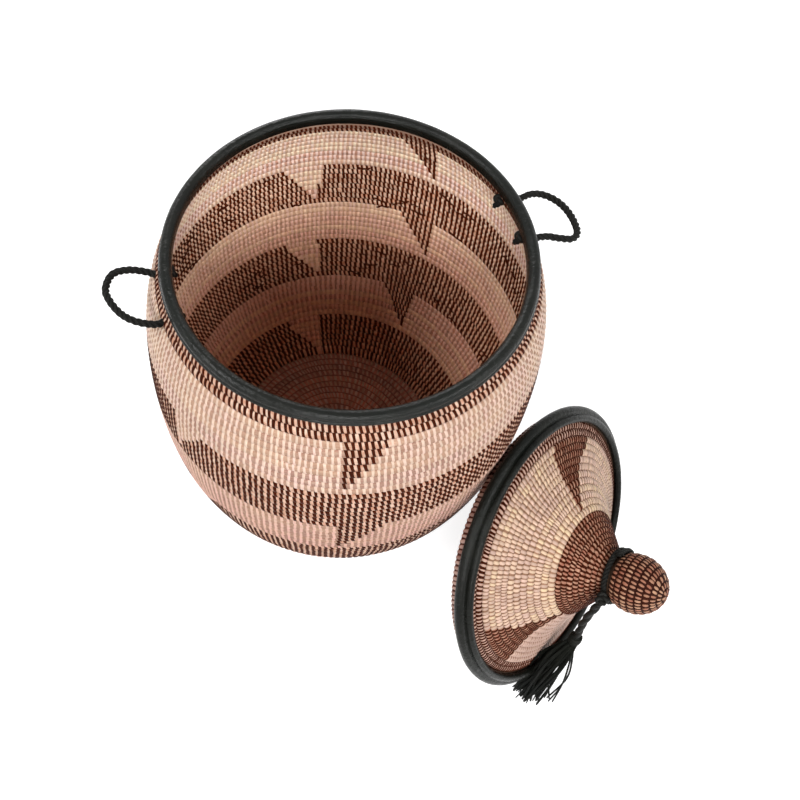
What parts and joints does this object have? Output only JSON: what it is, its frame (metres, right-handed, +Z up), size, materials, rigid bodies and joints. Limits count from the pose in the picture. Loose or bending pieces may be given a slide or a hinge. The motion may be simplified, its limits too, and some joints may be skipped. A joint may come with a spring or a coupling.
{
  "type": "laundry basket",
  "caption": "Tall barrel-shaped hamper of coiled grass with a leather-bound rim, a cord loop handle on each side, and a loose flared lid with a ball knob and a tassel, leaning against it.",
  "frame": {"origin": "centre of the basket's underside, on the floor", "axes": "+Z up along the basket's own axis; +X towards the right handle's side and -Y towards the viewer of the picture; the lid leans on the front right"},
  "size_m": [0.6202, 0.6116, 0.4845],
  "materials": {
    "base_coil": "grass coil sewn with flat strips, reddish brown",
    "wall_coil": "grass coil sewn with flat strips, cream and dark bands",
    "rim_leather": "soft satin, near black",
    "handle_cord": "twisted cord, near black",
    "knot_cord": "knotted cord, near black",
    "lid_coil": "grass coil sewn with flat strips, cream and dark bands",
    "collar_coil": "grass coil sewn with dark strips",
    "lid_leather": "soft satin, near black",
    "knob_coil": "grass coil sewn with dark strips",
    "tie_cord": "black leather cord",
    "tassel_cord": "black leather cord, twisted in two strands",
    "tassel_leather": "black leather binding",
    "strand_leather": "thin black leather strips"
  },
  "bodies": {
    "basket": {"basket_base": "base_coil", "basket_wall": "wall_coil", "rim_binding": "rim_leather", "handle_left_knot_back": "knot_cord", "handle_left_knot_front": "knot_cord", "handle_right_knot_front": "knot_cord", "handle_right_knot_back": "knot_cord"},
    "handle_left": {"handle_left_loop": "handle_cord"},
    "handle_right": {"handle_right_loop": "handle_cord"},
    "lid": {"lid_shell": "lid_coil", "lid_collar": "collar_coil", "lid_binding": "lid_leather", "lid_knob": "knob_coil", "neck_cord": "tie_cord", "tie_knot": "tie_cord"},
    "tassel": {"tassel_cord": "tassel_cord", "tassel_head": "tassel_leather", "tassel_strands": "strand_leather"}
  },
  "joints": [
    {"name": "handle_left_swing", "type": "hinge", "parent": "basket", "child": "handle_left", "pos_m": [-0.18086, -0.04142, 0.4576], "axis": [-0.2233, 0.9748, 0], "range_deg": [-65, 50]},
    {"name": "handle_right_swing", "type": "hinge", "parent": "basket", "child": "handle_right", "pos_m": [0.17724, 0.05487, 0.4576], "axis": [0.2957, -0.9553, 0], "range_deg": [-37, 78]},
    {"name": "lid_lift", "type": "slide", "parent": "basket", "child": "lid", "axis": [0, 0, 1], "range_m": [0, 0.6]},
    {"name": "tassel_swing", "type": "hinge", "parent": "lid", "child": "tassel", "pos_m": [0.28647, -0.28031, 0.21131], "axis": [-0.9848, -0.1736, 0], "range_deg": [0, 60]}
  ]
}
